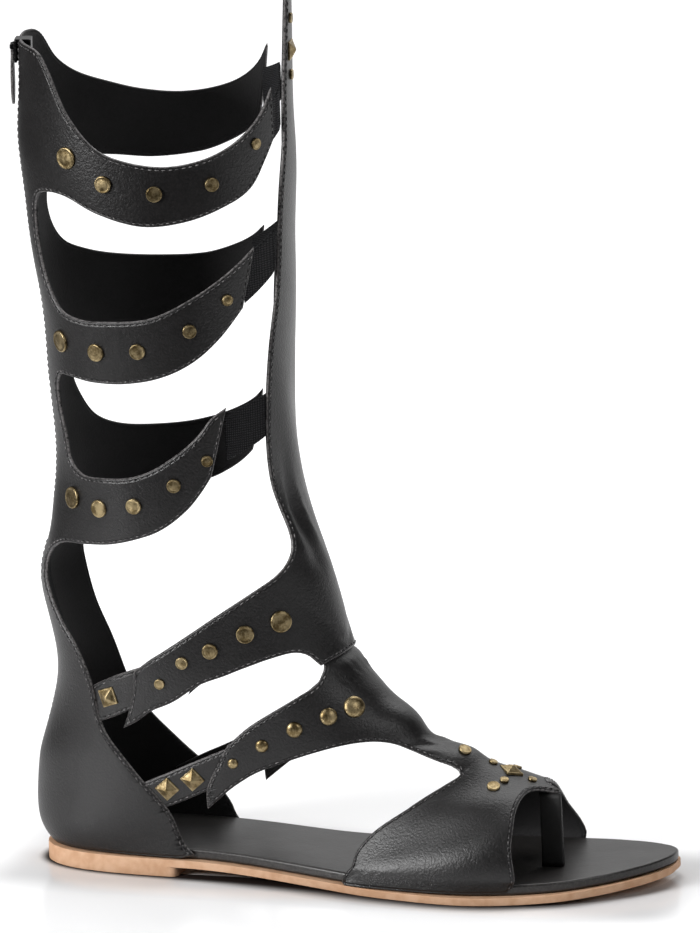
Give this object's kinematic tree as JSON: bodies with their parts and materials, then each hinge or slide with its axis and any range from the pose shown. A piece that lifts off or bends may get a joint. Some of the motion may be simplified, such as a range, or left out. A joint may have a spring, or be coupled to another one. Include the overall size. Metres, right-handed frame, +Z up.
{
  "type": "gladiator sandal",
  "caption": "Knee-high black gladiator sandal, right foot, with studded straps on an open shaft, a zip up the back, a toe post and a flat tan sole.",
  "frame": {"origin": "on the floor, at the middle of the heel's flat face", "axes": "+X towards the toe, +Y towards the inner side of the foot, +Z up the shaft"},
  "size_m": [0.2646, 0.1013, 0.3742],
  "materials": {
    "black_leather": "satin",
    "insole_leather": "matt",
    "sole_rubber": "matt",
    "elastic": "matt",
    "zip_tape": "matt",
    "antique_brass": "aged, satin",
    "blackened_metal": "black, glossy"
  },
  "bodies": {
    "sandal": {"gore_inner_1": "elastic", "gore_inner_2": "elastic", "gore_inner_3": "elastic", "gore_outer_1": "elastic", "gore_outer_2": "elastic", "gore_outer_3": "elastic", "heel": "sole_rubber", "insole": "insole_leather", "outsole": "sole_rubber", "pyramid_heel_inner_1": "antique_brass", "pyramid_heel_inner_2": "antique_brass", "pyramid_heel_inner_3": "antique_brass", "pyramid_heel_outer_1": "antique_brass", "pyramid_heel_outer_2": "antique_brass", "pyramid_heel_outer_3": "antique_brass", "pyramid_shin": "antique_brass", "pyramid_vamp": "antique_brass", "stud_ankle_1": "antique_brass", "stud_ankle_2": "antique_brass", "stud_ankle_3": "antique_brass", "stud_ankle_4": "antique_brass", "stud_ankle_5": "antique_brass", "stud_calf_1": "antique_brass", "stud_calf_2": "antique_brass", "stud_calf_3": "antique_brass", "stud_calf_4": "antique_brass", "stud_calf_5": "antique_brass", "stud_instep_1": "antique_brass", "stud_instep_2": "antique_brass", "stud_instep_3": "antique_brass", "stud_instep_4": "antique_brass", "stud_instep_5": "antique_brass", "stud_low_1": "antique_brass", "stud_low_2": "antique_brass", "stud_low_3": "antique_brass", "stud_low_4": "antique_brass", "stud_low_5": "antique_brass", "stud_mid_1": "antique_brass", "stud_mid_2": "antique_brass", "stud_mid_3": "antique_brass", "stud_mid_4": "antique_brass", "stud_mid_5": "antique_brass", "stud_vamp_1": "antique_brass", "stud_vamp_2": "antique_brass", "stud_vamp_3": "antique_brass", "stud_vamp_4": "antique_brass", "stud_vamp_5": "antique_brass", "stud_vamp_6": "antique_brass", "stud_vamp_7": "antique_brass", "toe_post": "black_leather", "upper": "black_leather", "zip_coil": "zip_tape", "zip_slider": "blackened_metal"},
    "pull": {"zip_pull": "black_leather"}
  },
  "joints": [
    {"name": "pull_hinge", "type": "hinge", "parent": "sandal", "child": "pull", "pos_m": [-0.03252, -0.01354, 0.33594], "axis": [-0.2474, 0.9689, 0.0002], "range_deg": [0, 150]}
  ]
}
